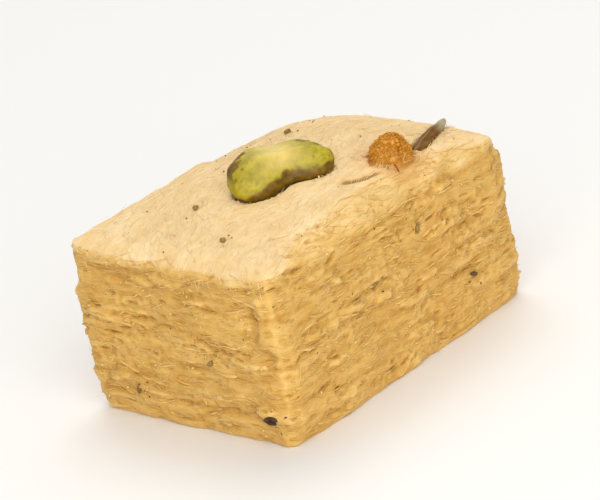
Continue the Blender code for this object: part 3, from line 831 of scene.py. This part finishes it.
# The saffron dab: a pinch of floss soaked in saffron milk and pressed on while damp. Its threads
# are matted and deep orange in the middle, and the dye has crept a little way into the top. They
# have the floss's silky gloss, and a few dark strands of the saffron itself lie among them.
DAB_THREADS = 900
DAB_CRUMBS = 420
DAB_CRUMB_SIZE = (0.15 * MM, 0.6 * MM)
DAB_STRANDS = 6
DAB_SPREAD = (1.1, 0.9)
DAB_OUT = 1.05
DAB_CURL = 0.6
DAB_TONES = [(0.0, "A05400"), (0.3, "BC7402"), (0.6, "C8840C"), (1.0, "D89A30")]
STRAND_RADIUS = 0.10 * MM
STRAND_TONE = 0.0


def dab_start(rng):
    """A random place on the dab's lump or at its foot."""
    sideways = [rng.gauss(0, spread) for spread in DAB_SPREAD]
    away = Vector((*sideways, 0.25 + abs(rng.gauss(0, 1)))).normalized()
    return skin_near(block_skin, DAB_PLACE + away * DAB_RADIUS * DAB_OUT)


rng = random.Random(71)
threads = []
for number in range(DAB_THREADS + DAB_STRANDS):
    strand = number >= DAB_THREADS
    start, outward = dab_start(rng)
    start += outward * 0.1 * MM
    heading = any_way(rng)
    length = rng.uniform(1.4, 2.2) * MM if strand else rng.uniform(0.5, 1.5) * MM
    lift = rng.uniform(0.03, 0.30) * MM
    points = laid_points(rng, block_skin, start, heading, length, STRAY_STEPS, lift, DAB_CURL)
    radius = STRAND_RADIUS if strand else rng.uniform(0.03, 0.09) * MM
    threads.append((points, radius, STRAND_TONE if strand else rng.uniform(0.25, 1)))
saffron_floss = floss_fibre("saffron_floss", DAB_TONES)
shown("saffron_threads", fibres_mesh("saffron_threads", threads), saffron_floss)
dab_crumbs = copies_mesh(
    "saffron_crumbs",
    [crumb_template(rng) for _ in range(TEMPLATES)],
    placed_crumbs(rng, DAB_CRUMBS, lambda: dab_start(rng), DAB_CRUMB_SIZE),
)
shown("saffron_crumbs", dab_crumbs, saffron_floss)

# The pistachio half: a kernel split lengthways and pressed into the top, domed side up. Its flesh
# is green and slightly oily, paler across its waist, with scraps of papery brown skin on it. Along
# its low edge the brown is partly skin and partly painted shade.
NUT_NODE = "pistachio_half"
NUT_VOXEL = 0.13 * MM
NUT_SMOOTHING = 20
NUT_TURN = math.radians(-28)
NUT_HOLLOW_DEPTH = 0.12 * MM
NUT_BLUR = 2
SADDLE_X = 0.8 * MM
SADDLE_REACH = 1.8 * MM
SADDLE_DEPTH = 0.45 * MM


def nut_skin(node, turn, voxel, smoothing, relief):
    """A nut piece's mesh with fine relief, its outward directions and its vertices' own places:
    along its length and across it from -1 to 1, and up from 0 to 1."""
    low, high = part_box(node)
    middle, size = (low + high) / 2, high - low
    mesh = remeshed_node(node, voxel, smoothing)
    outward = blurred(mesh, vertex_rows(mesh, "normal"), NUT_BLUR)
    turned = Matrix.Rotation(-turn, 3, "Z")
    own = []
    for vert, away in zip(mesh.vertices, outward):
        place = turned @ (vert.co - middle)
        vert.co += Vector(away) * relief(place)
        own.append((place.x, place.y, (vert.co.z - low.z) / size.z))
    own = np.array(own)
    own[:, :2] /= np.abs(own[:, :2]).max(0)
    return mesh, outward, own


def nut_relief(place):
    """Shallow lengthwise wrinkles, a few dents, a fine grain and the saddle at its waist."""
    wrinkles = 0.10 * MM * stretched_wave(place, 3.0 * MM, 0.7 * MM, 0.8 * MM)
    dents = 0.16 * MM * wave(place, 2.2 * MM)
    pores = 0.04 * MM * wave(place, 0.5 * MM)
    saddle = SADDLE_DEPTH * math.exp(-(((place.x - SADDLE_X) / SADDLE_REACH) ** 2))
    return wrinkles + dents + pores - saddle


# Skin is left on the broad tip and less of it on the narrow one. Along the low edge the brown is
# partly skin and partly painted shade, and it reaches highest past the middle. Across the top of the
# waist between the tips the flesh is paler, the colour of cream.
nut_mesh, nut_outward, nut_own = nut_skin(NUT_NODE, NUT_TURN, NUT_VOXEL, NUT_SMOOTHING, nut_relief)
skin_and_shade_share, pale_waist_share = [], []
for vert, (along, across, up) in zip(nut_mesh.vertices, nut_own):
    ragged = 0.35 * wave(vert.co, 1.1 * MM) + 0.16 * wave(vert.co, 0.45 * MM)
    to_broad_tip = -along + 0.35 * across + ragged
    broad_tip = smooth_step(0.57, 0.70, to_broad_tip) * smooth_step(0.5, 0.7, up)
    to_narrow_tip = along + 0.3 * across + 1.4 * ragged
    narrow_tip = smooth_step(0.65, 0.77, to_narrow_tip) * smooth_step(0.45, 0.65, up)
    # Along the low edge the brown is partly skin and partly painted shade under the nut's side.
    low_limit = 0.28 + 0.20 * smooth_step(-0.8, -0.2, along)
    low_limit += 0.08 * math.exp(-(((along - 0.2) / 0.3) ** 2))
    low_edge_skin_and_shade = smooth_step(low_limit + 0.05, low_limit - 0.05, up + 0.22 * ragged)
    low_edge_skin_and_shade *= smooth_step(0.6, 0.2, across)
    skin_and_shade_share.append(max(broad_tip, 0.6 * narrow_tip, low_edge_skin_and_shade))
    pale_waist = math.exp(-(((along - 0.03) / 0.34) ** 2)) * smooth_step(0.4, 0.8, up)
    pale_waist_share.append(pale_waist * (1 - skin_and_shade_share[-1]) ** 2)
set_attribute(nut_mesh, "skin_and_shade_share", np.clip(skin_and_shade_share, 0, 1))
set_attribute(nut_mesh, "pale_waist_share", pale_waist_share)
set_attribute(nut_mesh, "hollow", hollow_shares(nut_mesh, nut_outward, NUT_HOLLOW_DEPTH))
nut_mesh.shade_smooth()

# Pistachio kernel: oily flesh that lets a little light in, so its green looks warm and full, with
# a soft gloss. The dry scraps of skin are brown, and along the low edge that brown is partly painted
# shade. The flesh across the waist is the colour of cream.
FLESH_TONES = [(0.0, "74680A"), (0.45, "A29210"), (0.8, "BCAA24"), (1.0, "D2BE48")]
SKIN_AND_SHADE_TONES = [(0.3, "584000"), (0.7, "846200")]
PALE_WAIST_FLESH = "E0C872"
NUT_BUMP = 0.05 * MM

kernel, tree, shader = new_material("pistachio_kernel", 0.5, 0.3, 0.9 * MM, radius=(0.8, 1.0, 0.3))
mottle = grain(tree, 1.4 * MM, 1.4 * MM, 1.0 * MM, 4)
freckles = grain(tree, 0.8 * MM, 0.4 * MM, 0.4 * MM)
scrap_grain = grain(tree, 0.8 * MM, 0.8 * MM, 0.8 * MM)
pores = grain(tree, 0.5 * MM, 0.5 * MM, 0.5 * MM, 4)
shares = {
    name: add_node(tree, "ShaderNodeAttribute", {"attribute_name": name}, give="Fac")
    for name in ("hollow", "pale_waist_share", "skin_and_shade_share")
}
# The flesh is painted darker in its dents and wrinkles: painted shade.
flesh_tone = weighed(
    tree, 0.5, (shares["hollow"], 0.0, -0.3), (mottle, 0.5, 1.0), (freckles, 0.5, 0.7)
)
flesh = add_node(tree, "ShaderNodeValToRGB", stops=FLESH_TONES, i0=flesh_tone)
skin_and_shade_brown = add_node(tree, "ShaderNodeValToRGB", stops=SKIN_AND_SHADE_TONES, i0=scrap_grain)
colour = flesh
for share, other in (
    (shares["pale_waist_share"], linear(PALE_WAIST_FLESH)),
    (shares["skin_and_shade_share"], skin_and_shade_brown),
):
    colour = add_node(
        tree, "ShaderNodeMix", COLOUR_MIX, give=MIXED_COLOUR, i0=share, i6=colour, i7=other
    )
tree.links.new(colour, shader.inputs["Base Color"])
bump = add_node(tree, "ShaderNodeBump", Height=pores, Distance=NUT_BUMP, Strength=0.5)
tree.links.new(bump, shader.inputs["Normal"])
nut = shown("pistachio_kernel", nut_mesh, kernel)
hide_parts(NUT_NODE)

# The dark sliver: a lengthwise shaving of pistachio with its dry skin on, pushed in near the far
# edge. The skin has dried to a wrinkled, matt dark brown, and is grey towards the raised tip.
SLIVER_NODE = "dark_sliver"
SLIVER_VOXEL = 0.10 * MM
SLIVER_SMOOTHING = 6
SLIVER_TURN = math.radians(8)
SLIVER_HOLLOW_DEPTH = 0.06 * MM
GREY_TIP = (0.2, 0.8)
DRIED_TONES = [(0.0, "3A2203"), (0.5, "6E4706"), (1.0, "946A1E")]
GREY_TIP_TONES = [(0.0, "857A58"), (1.0, "BEB392")]


def sliver_relief(place):
    """The lengthwise wrinkles of a dried skin, and its dents."""
    wrinkles = 0.09 * MM * stretched_wave(place, 3 * MM, 0.35 * MM, 0.4 * MM)
    return wrinkles + 0.07 * MM * wave(place, 0.9 * MM)


sliver_mesh, sliver_outward, sliver_own = nut_skin(
    SLIVER_NODE, SLIVER_TURN, SLIVER_VOXEL, SLIVER_SMOOTHING, sliver_relief
)
sliver_hollows = hollow_shares(sliver_mesh, sliver_outward, SLIVER_HOLLOW_DEPTH)
tip_share = [smooth_step(*GREY_TIP, along) for along, _, _ in sliver_own]
set_attribute(sliver_mesh, "hollow", sliver_hollows)
set_attribute(sliver_mesh, "tip_share", tip_share)
sliver_mesh.shade_smooth()

dark_skin, tree, shader = new_material("dried_nut_skin", 0.55)
creases = grain(tree, MM, 0.4 * MM, 0.4 * MM)
shares = {
    name: add_node(tree, "ShaderNodeAttribute", {"attribute_name": name}, give="Fac")
    for name in ("hollow", "tip_share")
}
# The skin's tone is painted darker in its creases: painted shade.
skin_tone = weighed(tree, 0.45, (shares["hollow"], 0.0, -0.4), (creases, 0.5, 0.8))
dried = add_node(tree, "ShaderNodeValToRGB", stops=DRIED_TONES, i0=skin_tone)
grey_tip = add_node(tree, "ShaderNodeValToRGB", stops=GREY_TIP_TONES, i0=skin_tone)
colour = add_node(
    tree, "ShaderNodeMix", COLOUR_MIX, give=MIXED_COLOUR, i0=shares["tip_share"], i6=dried, i7=grey_tip
)
tree.links.new(colour, shader.inputs["Base Color"])
sliver = shown("dark_skinned_sliver", sliver_mesh, dark_skin)
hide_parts(SLIVER_NODE)

# The floss that the nut and the sliver have pushed up: short fibres and crumbs along their feet,
# which close the dents' rims.
FOOT_FIBRES = 420
FOOT_CRUMBS = 160
FOOT_CRUMB_SIZE = (0.12 * MM, 0.36 * MM)
FOOT_REACH = 0.75 * MM
FOOT_LEVEL = 0.8
FOOT_SPREAD = 0.7
FOOT_CURL = 0.4


def foot_start(rng, meshes):
    """A random place on the top's skin right beside one of the pressed pieces."""
    while True:
        mesh = rng.choice(meshes)
        beside = mesh.vertices[rng.randrange(len(mesh.vertices))].co
        point, outward = skin_near(block_skin, beside)
        if (point - beside).length < FOOT_REACH and outward.z > FOOT_LEVEL:
            return point, outward


rng = random.Random(83)
pressed_in = [nut_mesh, nut_mesh, nut_mesh, sliver_mesh]
foot_fibres = []
for _ in range(FOOT_FIBRES):
    start, outward = foot_start(rng, pressed_in)
    heading = swirl_heading(rng, start, FOOT_SPREAD)
    lift = rng.uniform(0.1, 0.5) * MM
    length = rng.uniform(0.8, 2.4) * MM
    points = laid_points(rng, block_skin, start, heading, length, STRAY_STEPS, lift, FOOT_CURL)
    foot_fibres.append((points, rng.uniform(*FIBRE_RADIUS), rng.uniform(*FIBRE_TONE)))
shown("foot_fibres", fibres_mesh("foot_fibres", foot_fibres), pale_fibre)
foot_crumbs = copies_mesh(
    "foot_crumbs",
    [crumb_template(rng) for _ in range(TEMPLATES)],
    placed_crumbs(rng, FOOT_CRUMBS, lambda: foot_start(rng, pressed_in), FOOT_CRUMB_SIZE),
)
shown("foot_crumbs", foot_crumbs, pale_fibre)

# The stage: a plain pale floor and soft studio light from above and behind on the left. The
# camera looks at the block's near corner from the same side and height as the photograph, and
# is turned a little, as the piece there leans.
CAMERA_AZIMUTH = math.radians(-46.0)
CAMERA_ELEVATION = math.radians(22.5)
CAMERA_ROLL = math.radians(-10.5)
CAMERA_DISTANCE = 0.38
VIEW_WIDTH = 0.072
SENSOR = 36.0
FLOOR_REACH = 2.0
LIGHT_DISTANCE = 0.6
SURROUNDING_LIGHT = 0.45

floor_mesh = bpy.data.meshes.new("floor")
floor_bm = bmesh.new()
bmesh.ops.create_grid(floor_bm, x_segments=1, y_segments=1, size=FLOOR_REACH)
bmesh.ops.translate(floor_bm, verts=floor_bm.verts, vec=(0, 0, floor_z))
floor_bm.to_mesh(floor_mesh)
floor_bm.free()
floor_material, tree, shader = new_material("matt_card", 0.7)
shader.inputs["Base Color"].default_value = linear("F2F0EC")
floor_mesh.materials.append(floor_material)
floor = bpy.data.objects.new("floor", floor_mesh)
bpy.context.scene.collection.objects.link(floor)


def direction_from(azimuth, elevation):
    """The direction towards a place given as for a view, in radians."""
    level = math.cos(elevation)
    return Vector((math.sin(azimuth) * level, -math.cos(azimuth) * level, math.sin(elevation)))


def soft_light(name, size, energy, azimuth, elevation):
    """A square studio light that faces the block, placed by angles in degrees."""
    light = bpy.data.lights.new(name, "AREA")
    light.size = size
    light.energy = energy
    back = direction_from(math.radians(azimuth), math.radians(elevation))
    lamp = bpy.data.objects.new(name, light)
    lamp.location = block_middle + back * LIGHT_DISTANCE
    lamp.rotation_mode = "QUATERNION"
    lamp.rotation_quaternion = (-back).to_track_quat("-Z", "Y")
    bpy.context.scene.collection.objects.link(lamp)


soft_light("key_light", size=0.40, energy=1.5, azimuth=128, elevation=62)
soft_light("fill_light", size=0.7, energy=3.6, azimuth=-42, elevation=32)
world = bpy.data.worlds.new("studio")
world.use_nodes = True
world.node_tree.nodes["Background"].inputs["Color"].default_value = linear("FFFFFF")
world.node_tree.nodes["Background"].inputs["Strength"].default_value = SURROUNDING_LIGHT
bpy.context.scene.world = world
bpy.context.scene.view_settings.view_transform = "Standard"

camera_data = bpy.data.cameras.new("camera")
camera_data.sensor_width = SENSOR
camera_data.lens = SENSOR * CAMERA_DISTANCE / VIEW_WIDTH
camera_data.clip_start = 0.01
camera_data.clip_end = 10
camera = bpy.data.objects.new("camera", camera_data)
bpy.context.scene.collection.objects.link(camera)
back = direction_from(CAMERA_AZIMUTH, CAMERA_ELEVATION)
camera.location = block_middle + back * CAMERA_DISTANCE
camera.rotation_mode = "QUATERNION"
roll = Matrix.Rotation(CAMERA_ROLL, 3, "Z").to_quaternion()
camera.rotation_quaternion = (-back).to_track_quat("-Z", "Y") @ roll
bpy.context.scene.camera = camera
